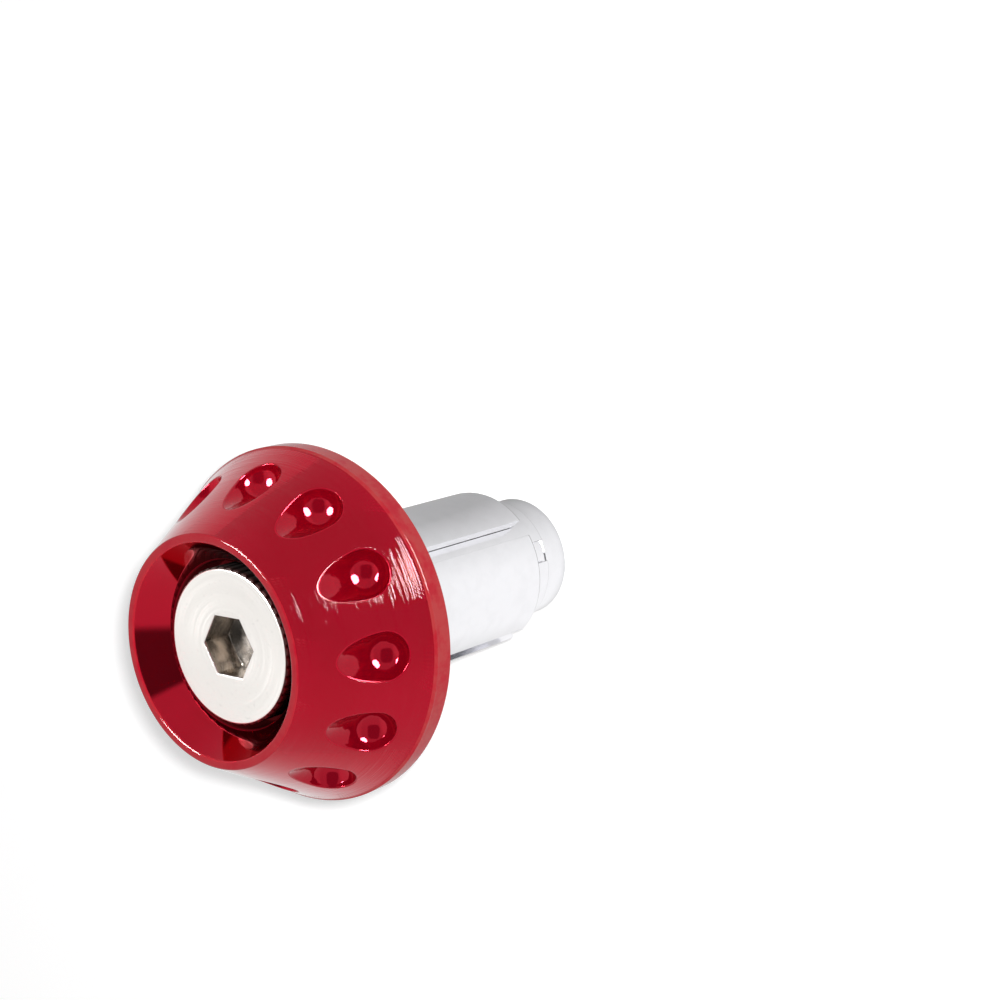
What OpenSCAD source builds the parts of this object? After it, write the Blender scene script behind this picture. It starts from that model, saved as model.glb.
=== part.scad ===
// Bar end weight: a dimpled, turned head clamped to a split expander that grips inside a handlebar.
// The axis is vertical. The part stands on the end face of the wedge nut, with the front lip on top.

/* [Weight head] */
// Largest diameter of the head, at the rim band
head_d = 37.8; // [34:0.1:44]
// Outer diameter of the front lip
lip_d = 24; // [23:0.1:26]
// Width of the flat front lip
lip_w = 0.75; // [0.5:0.05:1.2]
// Chamfer on both edges of the front lip
lip_chamfer = 0.1; // [0.05:0.01:0.2]
// Height of the tapered side, from the rim band to the front lip
cone_h = 12.6; // [11:0.1:16]
// Height of the straight rim band
band_h = 2.4; // [1.5:0.1:4]
// Chamfer on both edges of the rim band
rim_chamfer = 0.2; // [0.1:0.05:0.5]
// Depth of the tapered recess in the front
recess_h = 3.6; // [3:0.1:4.5]
// Depth of the seat under the screw head, below the lip
seat_depth = 7.1; // [6:0.1:8.5]
// Diameter of the spigot that bears on the end of the bar
spigot_d = 21; // [19.5:0.1:22]
// Height of the spigot beyond the washer
spigot_proud = 1.8; // [1:0.1:4]
// Chamfer on the end of the spigot
spigot_chamfer = 0.5; // [0.2:0.1:0.8]

/* [Dimples] */
// Number of dimples round the head
dimple_n = 12; // [6:1:14]
// Radius of the ball-nosed cutter that makes a dimple
dimple_r = 2.5; // [2:0.1:2.9]
// Distance from the axis to the floor of a dimple
dimple_floor_r = 13.9; // [13.4:0.1:14.5]
// Depth of the ball end of a dimple, below the lip
dimple_ball_depth = 8; // [7:0.1:9]

/* [Socket screw] */
// Diameter of the screw head
screw_head_d = 16.3; // [14:0.1:16.8]
// Height of the screw head
screw_head_h = 4.5; // [4:0.1:5]
// Chamfer on the front edge of the screw head
screw_chamfer = 0.25; // [0.1:0.05:0.4]
// Number of knurl grooves round the screw head
knurl_n = 48; // [24:1:60]
// Radius of one knurl groove
knurl_r = 0.3; // [0.2:0.05:0.4]
// Width across the flats of the hexagon socket
hex_af = 6; // [5:0.5:6]
// Depth of the hexagon socket
hex_depth = 3.4; // [2.5:0.1:3.6]
// Nominal diameter of the thread
thread_d = 8; // [8:0.1:8.2]
// Length of the screw under its head
screw_l = 40; // [34:0.5:42]
// Chamfer on the tip of the screw
tip_chamfer = 0.8; // [0.4:0.1:1]

/* [Nylon washer] */
// Outer diameter of the washer
washer_d = 30.4; // [27:0.1:33]
// Thickness of the washer
washer_t = 2; // [1.5:0.1:3]
// Rounding of the outer edge of the washer
washer_round = 0.9; // [0.3:0.1:1.2]

/* [Outer expander] */
// Outer diameter of the outer expander, which slides into the bar
outer_d = 18; // [17.8:0.05:18.4]
// Wall of the outer expander
outer_wall = 1.5; // [1.3:0.05:1.6]
// Length of the outer expander
outer_l = 24.5; // [20:0.5:28]
// Width of its slots
outer_slot_w = 2; // [1.2:0.1:2.6]
// Length of its slots
outer_slot_l = 19.6; // [12:0.1:19.8]
// Rounding of its open end
outer_round = 0.7; // [0.2:0.05:0.9]
// Direction of its first slot
outer_slot_a = 38.8; // [0:0.1:90]

/* [Inner expander] */
// Wall of the inner expander
inner_wall = 1.25; // [1:0.05:1.4]
// Length that stands out of the outer expander
inner_proud = 3.6; // [2.5:0.1:5]
// Width of its slots
inner_slot_w = 2.4; // [1.5:0.1:3]
// Length of its slots
inner_slot_l = 21.1; // [14:0.1:22]
// Chamfer on its open end
inner_chamfer = 0.3; // [0.1:0.05:0.4]
// Direction of its first slot
inner_slot_a = 18; // [0:0.1:90]
// Length of the taper inside its open end
seat_taper_l = 5; // [4:0.1:7]
// Thickness of the end wall that centres it on the screw
end_wall_t = 2; // [1:0.1:3]

/* [Wedge nut] */
// Diameter of the nut outside the expander
nut_d = 13.8; // [13:0.1:14]
// Length of the nut outside the expander
nut_proud = 4.1; // [3:0.1:5.5]
// Length of the nut inside the expander
nut_inside_l = 10; // [8:0.5:12]
// Bevel on the end face of the nut
nut_bevel = 0.5; // [0.3:0.1:0.8]
// Countersink of the threaded hole, beyond the thread diameter
hole_countersink = 0.25; // [0.1:0.05:0.4]

/* [Fits] */
// Rounding of the corners where a slot opens
corner_r = 0.5; // [0.3:0.05:0.8]
// Number of slots in each expander
slot_n = 4; // [3:1:5]
// Radial play of the screw in the head
screw_play = 0.2; // [0.1:0.05:0.3]
// Radial play of the screw head in its counterbore
head_play = 0.6; // [0.4:0.05:0.7]
// Radial play between pieces that slide on each other
slide_play = 0.1; // [0.05:0.01:0.15]
// Radial play in the thread and on the wedge taper
thread_play = 0.05; // [0.03:0.01:0.08]

/* [Hidden] */
$fn = 96;
eps = 0.01;

// Heights above the end face of the nut
inner_end_z = nut_proud;
outer_end_z = inner_end_z + inner_proud;
spigot_z = outer_end_z + outer_l;
back_z = spigot_z + spigot_proud + washer_t;
band_top_z = back_z + band_h;
lip_z = band_top_z + cone_h;
seat_z = lip_z - seat_depth;
screw_face_z = seat_z + screw_head_h;
screw_tip_z = seat_z - screw_l;
dimple_z = lip_z - dimple_ball_depth;

// Radii that follow from the sizes above
counterbore_r = screw_head_d / 2 + head_play;
screw_bore_r = thread_d / 2 + screw_play;
washer_bore_r = spigot_d / 2 + slide_play;
outer_bore_r = outer_d / 2 - outer_wall;
inner_r = outer_bore_r - slide_play;
inner_bore_r = inner_r - inner_wall;
nut_bore_r = thread_d / 2 + thread_play;
dimple_centre_r = dimple_floor_r + dimple_r;
cone_slope = (head_d / 2 - rim_chamfer - lip_d / 2) / cone_h;
recess_slope = (lip_d / 2 - lip_w - counterbore_r) / recess_h;

// Wedge taper: the radius inside the open end of the inner expander, and how fast it closes
taper_end_r = nut_d / 2 - 0.1;
taper_rate = (taper_end_r - inner_bore_r) / seat_taper_l;

// Turned section of the head, with its recess, counterbore, screw bore and spigot
module head_section() {
    polygon([
        [screw_bore_r, spigot_z],
        [spigot_d / 2 - spigot_chamfer, spigot_z],
        [spigot_d / 2, spigot_z + spigot_chamfer],
        [spigot_d / 2, back_z],
        [head_d / 2 - rim_chamfer, back_z],
        [head_d / 2, back_z + rim_chamfer],
        [head_d / 2, band_top_z - rim_chamfer],
        [head_d / 2 - rim_chamfer, band_top_z],
        [lip_d / 2 + cone_slope * lip_chamfer, lip_z - lip_chamfer],
        [lip_d / 2 - lip_chamfer, lip_z],
        [lip_d / 2 - lip_w + lip_chamfer, lip_z],
        [lip_d / 2 - lip_w - recess_slope * lip_chamfer, lip_z - lip_chamfer],
        [counterbore_r, lip_z - recess_h],
        [counterbore_r, seat_z],
        [screw_bore_r, seat_z]
    ]);
}

// One dimple: the cutter comes in from the lip side and its ball end stops short of the rim band
module dimple() {
    translate([dimple_centre_r, 0, dimple_z]) {
        sphere(r = dimple_r);
        cylinder(r = dimple_r, h = dimple_ball_depth + eps);
    }
}

// Head that gives the weight, turned in one piece with its spigot
module weight_head() {
    color([0.66, 0.08, 0.13])
        difference() {
            rotate_extrude() head_section();
            for (i = [0 : dimple_n - 1])
                rotate([0, 0, i * 360 / dimple_n]) dimple();
        }
}

// Section of a ring whose lower outer edge is rounded
module rounded_ring(r_in, r_out, z_low, z_high, rounding) {
    difference() {
        translate([r_in, z_low]) square([r_out - r_in, z_high - z_low]);
        translate([r_out - rounding, z_low - eps]) square([rounding + eps, rounding + eps]);
    }
    intersection() {
        translate([r_out - rounding, z_low + rounding]) circle(r = rounding);
        translate([r_out - rounding, z_low]) square(rounding);
    }
}

// Washer between the head and the grip, with a soft outer edge on the grip side
module nylon_washer() {
    color([0.9, 0.9, 0.92])
        rotate_extrude()
            rounded_ring(washer_bore_r, washer_d / 2, back_z - washer_t, back_z, washer_round);
}

// Turned section of the screw, from its tip to the face of its head
module screw_section() {
    polygon([
        [0, screw_tip_z],
        [thread_d / 2 - tip_chamfer, screw_tip_z],
        [thread_d / 2, screw_tip_z + tip_chamfer],
        [thread_d / 2, seat_z],
        [screw_head_d / 2, seat_z],
        [screw_head_d / 2, screw_face_z - screw_chamfer],
        [screw_head_d / 2 - screw_chamfer, screw_face_z],
        [0, screw_face_z]
    ]);
}

// Hexagon socket with a cone at its bottom, as a drill leaves it
module hex_socket() {
    hex_r = hex_af / 2 / cos(30);
    translate([0, 0, screw_face_z - hex_depth])
        cylinder(r = hex_r, h = hex_depth + eps, $fn = 6);
    translate([0, 0, screw_face_z - hex_depth - hex_af / 8])
        cylinder(r1 = hex_af / 4, r2 = hex_af / 2, h = hex_af / 8 + eps);
}

// Grip grooves round the side of the screw head
module knurl() {
    for (i = [0 : knurl_n - 1])
        rotate([0, 0, i * 360 / knurl_n])
            translate([screw_head_d / 2 + knurl_r / 2, 0, seat_z + screw_chamfer])
                cylinder(r = knurl_r, h = screw_head_h, $fn = 16);
}

// Screw that draws the wedge nut towards the head
module socket_screw() {
    color([0.84, 0.83, 0.8])
        difference() {
            rotate_extrude() screw_section();
            hex_socket();
            knurl();
        }
}

// Outline of a slot that is open at the bottom, with the corners of its mouth rounded.
// The rounding sits a little low, so that it breaks through the end face instead of just touching it.
module slot_outline(w, l) {
    round_h = 0.8 * corner_r;
    translate([-w / 2, -eps]) square([w, l + eps]);
    difference() {
        translate([-w / 2 - corner_r, -eps]) square([w + 2 * corner_r, round_h + eps]);
        for (side = [-1, 1])
            translate([side * (w / 2 + corner_r), round_h]) circle(r = corner_r);
    }
}

// Slots cut from the open end of a tube, each through one wall
module slots(w, l, r, z, a) {
    for (i = [0 : slot_n - 1])
        rotate([0, 0, a + i * 360 / slot_n])
            translate([0, 0, z])
                rotate([90, 0, 90])
                    linear_extrude(height = r + 1) slot_outline(w, l);
}

// Split sleeve that the inner expander spreads against the wall of the bar
module outer_expander() {
    color([0.8, 0.8, 0.82])
        difference() {
            rotate_extrude()
                rounded_ring(outer_bore_r, outer_d / 2, outer_end_z, spigot_z, outer_round);
            slots(outer_slot_w, outer_slot_l, outer_d / 2, outer_end_z, outer_slot_a);
        }
}

// Split sleeve inside the outer expander, with an end wall that the screw passes through
module inner_expander() {
    color([0.78, 0.78, 0.8])
        difference() {
            rotate_extrude()
                polygon([
                    [taper_end_r, inner_end_z],
                    [inner_r - inner_chamfer, inner_end_z],
                    [inner_r, inner_end_z + inner_chamfer],
                    [inner_r, spigot_z],
                    [screw_bore_r, spigot_z],
                    [screw_bore_r, spigot_z - end_wall_t],
                    [inner_bore_r, spigot_z - end_wall_t],
                    [inner_bore_r, inner_end_z + seat_taper_l]
                ]);
            slots(inner_slot_w, inner_slot_l, inner_r, inner_end_z, inner_slot_a);
        }
}

// Nut whose taper is drawn into the open end of the inner expander
module wedge_nut() {
    nut_top_z = inner_end_z + nut_inside_l;
    taper_r = taper_end_r - thread_play;
    color([0.75, 0.75, 0.77])
        rotate_extrude()
            polygon([
                [nut_bore_r + hole_countersink, 0],
                [nut_d / 2 - nut_bevel, 0],
                [nut_d / 2, nut_bevel],
                [nut_d / 2, inner_end_z - thread_play],
                [taper_r, inner_end_z - thread_play],
                [taper_r - taper_rate * nut_inside_l, nut_top_z],
                [nut_bore_r, nut_top_z],
                [nut_bore_r, hole_countersink]
            ]);
}

weight_head();
nylon_washer();
socket_screw();
outer_expander();
inner_expander();
wedge_nut();
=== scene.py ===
"""Bar end weight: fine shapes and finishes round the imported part, with a plain studio."""

import math

import bmesh
import bpy
import numpy as np
from mathutils import Matrix, Vector


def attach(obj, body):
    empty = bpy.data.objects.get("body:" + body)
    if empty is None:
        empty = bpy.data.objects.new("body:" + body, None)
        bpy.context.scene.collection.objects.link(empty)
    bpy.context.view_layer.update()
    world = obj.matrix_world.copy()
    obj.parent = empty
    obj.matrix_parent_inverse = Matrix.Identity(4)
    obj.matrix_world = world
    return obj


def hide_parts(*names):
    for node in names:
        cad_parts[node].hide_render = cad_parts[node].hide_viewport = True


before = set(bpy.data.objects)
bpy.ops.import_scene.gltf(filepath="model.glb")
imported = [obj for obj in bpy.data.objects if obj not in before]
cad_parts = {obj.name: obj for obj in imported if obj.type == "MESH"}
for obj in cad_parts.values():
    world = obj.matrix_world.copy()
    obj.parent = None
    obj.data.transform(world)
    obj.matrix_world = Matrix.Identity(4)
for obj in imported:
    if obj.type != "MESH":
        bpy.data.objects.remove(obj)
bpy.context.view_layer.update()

bl_info = {
    "name": "Bar end weight",
    "version": (1, 0, 0),
    "blender": (4, 5, 0),
    "location": "3D View > Sidebar > Bar end",
    "description": "Makes a dimpled bar end weight, its split expander and a plain studio",
    "category": "Add Mesh",
}

MM = 0.001
# Points nearer to each other than this become one.
MERGE = 0.5e-6
# A thread's ridge: width of its foot, how far the foot is sunk, and width of its crest as a share.
THREAD_W = 1.05 * MM
THREAD_SINK = 0.1 * MM
THREAD_CREST = 0.18
# Ray depth below which the gloss lamps give light.
FIRST_MIRROR = 2.5


def length_of(name, default, description):
    """A length the user may change; the default is in millimetres."""
    return bpy.props.FloatProperty(
        name=name, description=description, default=default * MM, min=0.0, unit="LENGTH", precision=5
    )


def colour_of(name, default, description):
    """A colour the user may change."""
    return bpy.props.FloatVectorProperty(
        name=name, description=description, default=default, min=0.0, max=1.0, size=3, subtype="COLOR"
    )


def point_of(name, default, description):
    """A place the user may change, in metres."""
    return bpy.props.FloatVectorProperty(
        name=name, description=description, default=default, size=3, subtype="TRANSLATION"
    )


def angle_of(name, degrees, description):
    """An angle the user may change; the default is in degrees."""
    return bpy.props.FloatProperty(
        name=name, description=description, default=math.radians(degrees), unit="ROTATION"
    )


def number_of(name, default, description, least=0.0):
    """A plain number the user may change."""
    return bpy.props.FloatProperty(name=name, description=description, default=default, min=least)


def count_of(name, default, description, least):
    """A whole number the user may change."""
    return bpy.props.IntProperty(name=name, description=description, default=default, min=least)


class HeadSizes(bpy.types.PropertyGroup):
    """Turned sizes of the weight head. Heights count from the end face of the nut."""

    spigot_z: length_of("Spigot end", 32.2, "Height of the end of the spigot")
    back_z: length_of("Back face", 36.0, "Height of the face that bears on the washer")
    band_z: length_of("Band top", 38.4, "Height where the rim band ends and the cone starts")
    lip_z: length_of("Lip", 51.0, "Height of the front lip")
    seat_z: length_of("Screw seat", 43.9, "Height of the seat under the screw head")
    recess_z: length_of("Recess foot", 47.4, "Height where the tapered recess meets the counterbore")
    band_r: length_of("Band radius", 18.9, "Radius of the rim band")
    lip_r: length_of("Lip radius", 12.0, "Outer radius of the front lip")
    recess_r: length_of("Recess radius", 11.25, "Radius of the recess at the lip")
    counterbore_r: length_of("Counterbore radius", 8.75, "Radius of the counterbore round the screw")
    bore_r: length_of("Bore radius", 4.2, "Radius of the screw bore")
    spigot_r: length_of("Spigot radius", 10.5, "Radius of the spigot")
    rim_chamfer: length_of("Rim chamfer", 0.2, "Chamfer on both edges of the rim band")
    lip_chamfer: length_of("Lip chamfer", 0.1, "Chamfer on both edges of the lip")
    spigot_chamfer: length_of("Spigot chamfer", 0.5, "Chamfer on the end of the spigot")
    edge_round: length_of("Edge rounding", 0.07, "Rounding the polish leaves on turned edges")


class DimpleSizes(bpy.types.PropertyGroup):
    """The ball-nosed cuts round the cone."""

    count: count_of("Dimples", 12, "Dimples round the head", 3)
    radius: length_of("Cutter radius", 2.5, "Radius of the ball-nosed cutter")
    axis_r: length_of("Cutter distance", 16.4, "Distance from the axis of the head to the cutter's")
    ball_z: length_of("Ball height", 43.0, "Height of the centre of the ball end")
    edge: length_of("Edge rounding", 0.13, "Width of the polished edge round a dimple")


class ScrewSizes(bpy.types.PropertyGroup):
    """The socket screw and its thread."""

    head_r: length_of("Head radius", 8.15, "Radius of the screw head")
    seat_z: length_of("Seat", 43.9, "Height of the underside of the head")
    face_z: length_of("Face", 48.4, "Height of the face of the head")
    chamfer: length_of("Chamfer", 0.25, "Chamfer on the front edge of the head")
    knurls: count_of("Knurls", 48, "Grooves round the head", 6)
    knurl_r: length_of("Knurl radius", 0.3, "Radius of one groove")
    knurl_axis_r: length_of("Knurl distance", 8.3, "Distance from the axis to the centre of a groove")
    socket_flat: length_of("Socket flat", 3.0, "Half the width across the flats of the socket")
    socket_z: length_of("Socket floor", 45.0, "Height of the floor of the socket")
    drill_z: length_of("Drill point", 44.25, "Height of the bottom of the drilled cone")
    shank_r: length_of("Shank radius", 4.0, "Radius of the shank and of the thread's crest")
    core_r: length_of("Core radius", 3.38, "Radius at the root of the thread")
    tip_z: length_of("Tip", 3.9, "Height of the tip of the screw")
    thread_top_z: length_of("Thread end", 26.0, "Height where the thread runs out")
    pitch: length_of("Pitch", 1.25, "Pitch of the thread")


class WasherSizes(bpy.types.PropertyGroup):
    """The nylon washer behind the head."""

    bore_r: length_of("Bore radius", 10.6, "Inner radius of the washer")
    outer_r: length_of("Outer radius", 15.2, "Outer radius of the washer")
    low_z: length_of("Grip face", 34.0, "Height of the face on the grip side")
    high_z: length_of("Head face", 36.0, "Height of the face on the head side")
    rounding: length_of("Rounding", 0.9, "Rounding of the outer edge on the grip side")


class OuterSizes(bpy.types.PropertyGroup):
    """The outer expander."""

    outer_r: length_of("Outer radius", 9.0, "Outer radius of the sleeve")
    inner_r: length_of("Inner radius", 7.5, "Inner radius of the sleeve")
    low_z: length_of("Open end", 7.7, "Height of the open end")
    high_z: length_of("Closed end", 32.2, "Height of the end against the spigot")
    slot_w: length_of("Slot width", 2.0, "Width of a slot")
    slot_z: length_of("Slot end", 27.3, "Height where the slots end")
    rounding: length_of("Rounding", 0.7, "Rounding of the open end")
    slot_a: angle_of("Slot direction", 38.8, "Direction of the first slot")


class InnerSizes(bpy.types.PropertyGroup):
    """The inner expander."""

    outer_r: length_of("Outer radius", 7.4, "Outer radius of the sleeve")
    inner_r: length_of("Inner radius", 6.15, "Inner radius of the sleeve")
    mouth_r: length_of("Mouth radius", 6.8, "Inner radius at the open end")
    bore_r: length_of("Bore radius", 4.2, "Radius of the hole in the end wall")
    low_z: length_of("Open end", 4.1, "Height of the open end")
    taper_z: length_of("Taper end", 9.1, "Height where the inside taper ends")
    wall_z: length_of("Wall face", 30.2, "Height of the inner face of the end wall")
    high_z: length_of("Closed end", 32.2, "Height of the end against the spigot")
    slot_w: length_of("Slot width", 2.4, "Width of a slot")
    slot_z: length_of("Slot end", 25.2, "Height where the slots end")
    chamfer: length_of("Chamfer", 0.3, "Chamfer on the open end")
    slot_a: angle_of("Slot direction", 18.0, "Direction of the first slot")


class NutSizes(bpy.types.PropertyGroup):
    """The wedge nut."""

    outer_r: length_of("Radius", 6.9, "Radius outside the expander")
    shoulder_z: length_of("Shoulder", 4.05, "Height of the shoulder at the expander")
    wedge_r: length_of("Wedge radius", 6.75, "Radius at the thick end of the wedge")
    wedge_end_r: length_of("Wedge end radius", 5.45, "Radius at the thin end of the wedge")
    wedge_z: length_of("Wedge end", 14.1, "Height of the thin end of the wedge")
    hole_r: length_of("Hole radius", 4.05, "Radius at the root of the inside thread")
    crest_r: length_of("Crest radius", 3.45, "Radius at the crest of the inside thread")
    bevel: length_of("Bevel", 0.5, "Bevel on the end face")
    countersink: length_of("Countersink", 0.25, "Countersink of the threaded hole")


class FinishColours(bpy.types.PropertyGroup):
    """Colours of the finishes."""

    red_dye: colour_of("Red dye", (0.60, 0.0018, 0.024), "Anodised red of the weight head")
    red_deep: colour_of("Deep red", (0.56, 0.0015, 0.020), "Red where the dye took more")
    red_matt: colour_of("Matt red", (0.42, 0.0018, 0.018), "Anodised red in the dimples and on the edges")
    # Painted shade: this dark red stands in for the shade deep in the counterbore round the screw head.
    red_counterbore_shade: colour_of("Dark red", (0.10, 0.006, 0.008), "Anodised red in the counterbore")
    red_worn: colour_of("Worn red", (0.48, 0.045, 0.048), "Anodised red of the rim band")
    nickel: colour_of("Nickel", (0.84, 0.81, 0.775), "Nickel plate of the screw")
    # Painted shade with stains: darker nickel for the inside of the hexagon socket, standing in for the
    # shade in that hollow.
    nickel_socket_shade: colour_of("Dull nickel", (0.56, 0.51, 0.46), "Plate in the socket")
    # Painted shade: near black for the knurled side of the screw head, standing in for the shade in the
    # gap round it.
    knurl_side_shade: colour_of("Knurl", (0.040, 0.032, 0.030), "Dark finish of the knurled side")
    aluminium: colour_of("Aluminium", (0.93, 0.93, 0.955), "Polished aluminium of the expanders and nut")
    nylon: colour_of("Nylon", (0.74, 0.74, 0.78), "Nylon of the washer")


class StudioSettings(bpy.types.PropertyGroup):
    """Camera, lamps and floor."""

    lens: number_of("Lens", 72.0, "Focal length of the camera in millimetres", 1.0)
    camera_place: point_of("Camera", (0.14276, 0.05158, 0.18378), "Place of the camera")
    aim: point_of("Aim", (-0.0028861, 0.0064445, 0.0), "Point on the floor the camera looks at")
    roll: angle_of("Roll", -1.922, "Turn about the line of sight, away from the Y axis pointing up")
    ambient: number_of("Ambient", 0.45, "Strength of the soft light from all round")
    near_level: number_of("Near lamp", 0.68, "Light of the lamp by the camera, as a share of plain light")
    gloss: number_of("Gloss lamps", 54.0, "Radiance of the two lamps that show as highlights")


def bend(start, corner, end, t):
    """Point at t along the small arc that replaces a corner."""
    return (1 - t) ** 2 * start + 2 * t * (1 - t) * corner + t**2 * end


def cut_profile(points, rounding, steps=3):
    """Replaces each corner of a closed profile with a small arc of that size."""
    made = []
    count = len(points)
    for i, (r, z) in enumerate(points):
        here = np.array((r, z))
        back = np.array(points[i - 1]) - here
        on = np.array(points[(i + 1) % count]) - here
        reach = min(rounding, 0.4 * np.linalg.norm(back), 0.4 * np.linalg.norm(on))
        start = here + back / np.linalg.norm(back) * reach
        end = here + on / np.linalg.norm(on) * reach
        made += [tuple(bend(start, here, end, t)) for t in np.linspace(0.0, 1.0, steps + 1)]
    return made


class Shell:
    """Rows of points and the faces between them, gathered into one mesh."""

    def __init__(self):
        self.points = []
        self.faces = []

    def row(self, points):
        """Adds points and gives their numbers."""
        first = len(self.points)
        self.points += [tuple(p) for p in points]
        return list(range(first, len(self.points)))

    def turned_row(self, r, z, angles):
        """Adds the point (r, z) of a profile at each angle."""
        return self.row([(r * math.cos(a), r * math.sin(a), z) for a in angles])

    def strip(self, low, high, closed=False):
        """Faces between two rows of the same length."""
        count = len(low) if closed else len(low) - 1
        for i in range(count):
            j = (i + 1) % len(low)
            self.faces.append((low[i], low[j], high[j], high[i]))

    def strips(self, rows, closed=False):
        """Strips between each row and the next."""
        for low, high in zip(rows, rows[1:]):
            self.strip(low, high, closed)

    def fan(self, ring, centre, closed=True):
        """Triangles from a ring to its centre."""
        count = len(ring) if closed else len(ring) - 1
        for i in range(count):
            self.faces.append((ring[i], ring[(i + 1) % len(ring)], centre))

    def turned(self, profile, angles):
        """Strips between the points of a closed profile, turned through the angles."""
        rows = [self.turned_row(r, z, angles) for r, z in profile]
        self.strips(rows + rows[:1])

    def piece(self, name):
        """Makes the object, at the origin."""
        mesh = bpy.data.meshes.new(name)
        mesh.from_pydata(self.points, [], self.faces)
        mesh.update()
        made = bpy.data.objects.new(name, mesh)
        bpy.context.scene.collection.objects.link(made)
        return made


def close_seams(piece, distance=MERGE):
    """Merges doubles, drops faces without area and turns every face outwards."""
    bm = bmesh.new()
    bm.from_mesh(piece.data)
    bmesh.ops.remove_doubles(bm, verts=bm.verts, dist=distance)
    bmesh.ops.dissolve_degenerate(bm, edges=bm.edges, dist=distance)
    bmesh.ops.recalc_face_normals(bm, faces=bm.faces)
    for face in bm.faces:
        face.smooth = True
    bm.to_mesh(piece.data)
    bm.free()
    piece.data.update()


def keep_as_mesh(piece):
    """Turns what the modifiers make into the piece's own plain mesh."""
    bpy.context.view_layer.update()
    depsgraph = bpy.context.evaluated_depsgraph_get()
    old = piece.data
    made = bpy.data.meshes.new_from_object(piece.evaluated_get(depsgraph), depsgraph=depsgraph)
    piece.modifiers.clear()
    piece.data = made
    made.name = piece.name
    bpy.data.meshes.remove(old)


class Nodes:
    """Shorthands for building a node tree."""

    def __init__(self, tree):
        self.tree = tree

    def fill(self, socket, value):
        """Links a socket, or each socket of a list, to this one; anything else becomes its value."""
        if not isinstance(value, (list, bpy.types.NodeSocket)):
            socket.default_value = value
            return
        for source in value if isinstance(value, list) else [value]:
            self.tree.links.new(source, socket)

    def node(self, kind, inputs=(), **settings):
        """Adds a node with these settings and inputs; gives its outputs."""
        made = self.tree.nodes.new(kind)
        for name, value in settings.items():
            setattr(made, name, value)
        for name, value in dict(inputs).items():
            self.fill(made.inputs[name], value)
        return made.outputs

    def sum(self, operation, *values):
        """One Math node."""
        return self.node("ShaderNodeMath", enumerate(values), operation=operation)[0]

    def times(self, a, b):
        """One value times another."""
        return self.sum("MULTIPLY", a, b)

    def less(self, a, b):
        """One value less another."""
        return self.sum("SUBTRACT", a, b)

    def most(self, a, b):
        """The greater of two values."""
        return self.sum("MAXIMUM", a, b)

    def line(self, value, rate, start):
        """The value times a rate, plus a start."""
        return self.sum("MULTIPLY_ADD", value, rate, start)

    def vector(self, operation, *values):
        """One Vector Math node; gives its outputs."""
        return self.node("ShaderNodeVectorMath", enumerate(values), operation=operation)

    def ramp(self, value, low, high, at_low=0.0, at_high=1.0):
        """Maps a value from low..high to at_low..at_high, smoothly and clamped."""
        inputs = enumerate((value, low, high, at_low, at_high))
        return self.node("ShaderNodeMapRange", inputs, interpolation_type="SMOOTHSTEP")[0]


def geometry_tree(name, numbers):
    """A tree that takes a blank, named numbers and a finish; gives its nodes, inputs and identifiers."""
    tree = bpy.data.node_groups.new(name, "GeometryNodeTree")
    add = tree.interface.new_socket
    ids = {}
    for label, kind in {"Blank": "Geometry", **numbers, "Finish": "Material"}.items():
        ids[label] = add(name=label, in_out="INPUT", socket_type="NodeSocket" + kind).identifier
    add(name="Piece", in_out="OUTPUT", socket_type="NodeSocketGeometry")
    build = Nodes(tree)
    return build, build.node("NodeGroupInput"), ids


def put_out(build, given, shape):
    """Gives the shape its finish and hands it out of the tree."""
    painted = build.node("GeometryNodeSetMaterial", {"Geometry": shape, "Material": given["Finish"]})
    build.node("NodeGroupOutput", {0: painted[0]})


def sector_tree():
    """Node tree that repeats one sector round the Z axis and joins the sectors."""
    numbers = {"Count": "Int", "Start angle": "Float", "Merge distance": "Float"}
    build, given, ids = geometry_tree("Sectors round the axis", numbers)
    seats = build.node("GeometryNodePoints", {"Count": given["Count"]})[0]
    number = build.node("GeometryNodeInputIndex")[0]
    step = build.sum("DIVIDE", 2.0 * math.pi, given["Count"])
    turn = build.node("ShaderNodeCombineXYZ", {"Z": build.line(number, step, given["Start angle"])})[0]
    seated = {"Points": seats, "Instance": given["Blank"], "Rotation": turn}
    sectors = build.node("GeometryNodeInstanceOnPoints", seated)[0]
    real = build.node("GeometryNodeRealizeInstances", {0: sectors})[0]
    near = {"Geometry": real, "Distance": given["Merge distance"]}
    put_out(build, given, build.node("GeometryNodeMergeByDistance", near)[0])
    return build.tree, ids


def thread_tree():
    """Node tree that sweeps a ridge along a helix: one thread, inside or outside."""
    names = ("Turns", "Radius", "Height", "Ridge depth", "Ridge width", "Start height")
    build, given, ids = geometry_tree("Thread ridge", dict.fromkeys(names, "Float"))
    helix = build.node("GeometryNodeCurveSpiral", {
        "Resolution": 48, "Rotations": given["Turns"], "Height": given["Height"],
        "Start Radius": given["Radius"], "End Radius": given["Radius"],
    })[0]
    upright = build.node("GeometryNodeSetCurveNormal", {"Curve": helix}, mode="Z_UP")[0]
    foot = given["Ridge width"]
    section = build.node("GeometryNodeCurvePrimitiveQuadrilateral", {
        "Bottom Width": foot, "Top Width": build.times(foot, THREAD_CREST),
        "Height": given["Ridge depth"], "Offset": 0.0,
    }, mode="TRAPEZOID")[0]
    swept = {"Curve": upright, "Profile Curve": section, "Fill Caps": True}
    ridge = build.node("GeometryNodeCurveToMesh", swept)[0]
    rise = build.node("ShaderNodeCombineXYZ", {"Z": given["Start height"]})[0]
    lifted = build.node("GeometryNodeTransform", {"Geometry": ridge, "Translation": rise})[0]
    both = build.node("GeometryNodeJoinGeometry", {0: [given["Blank"], lifted]})[0]
    put_out(build, given, build.node("GeometryNodeRealizeInstances", {0: both})[0])
    return build.tree, ids


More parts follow.
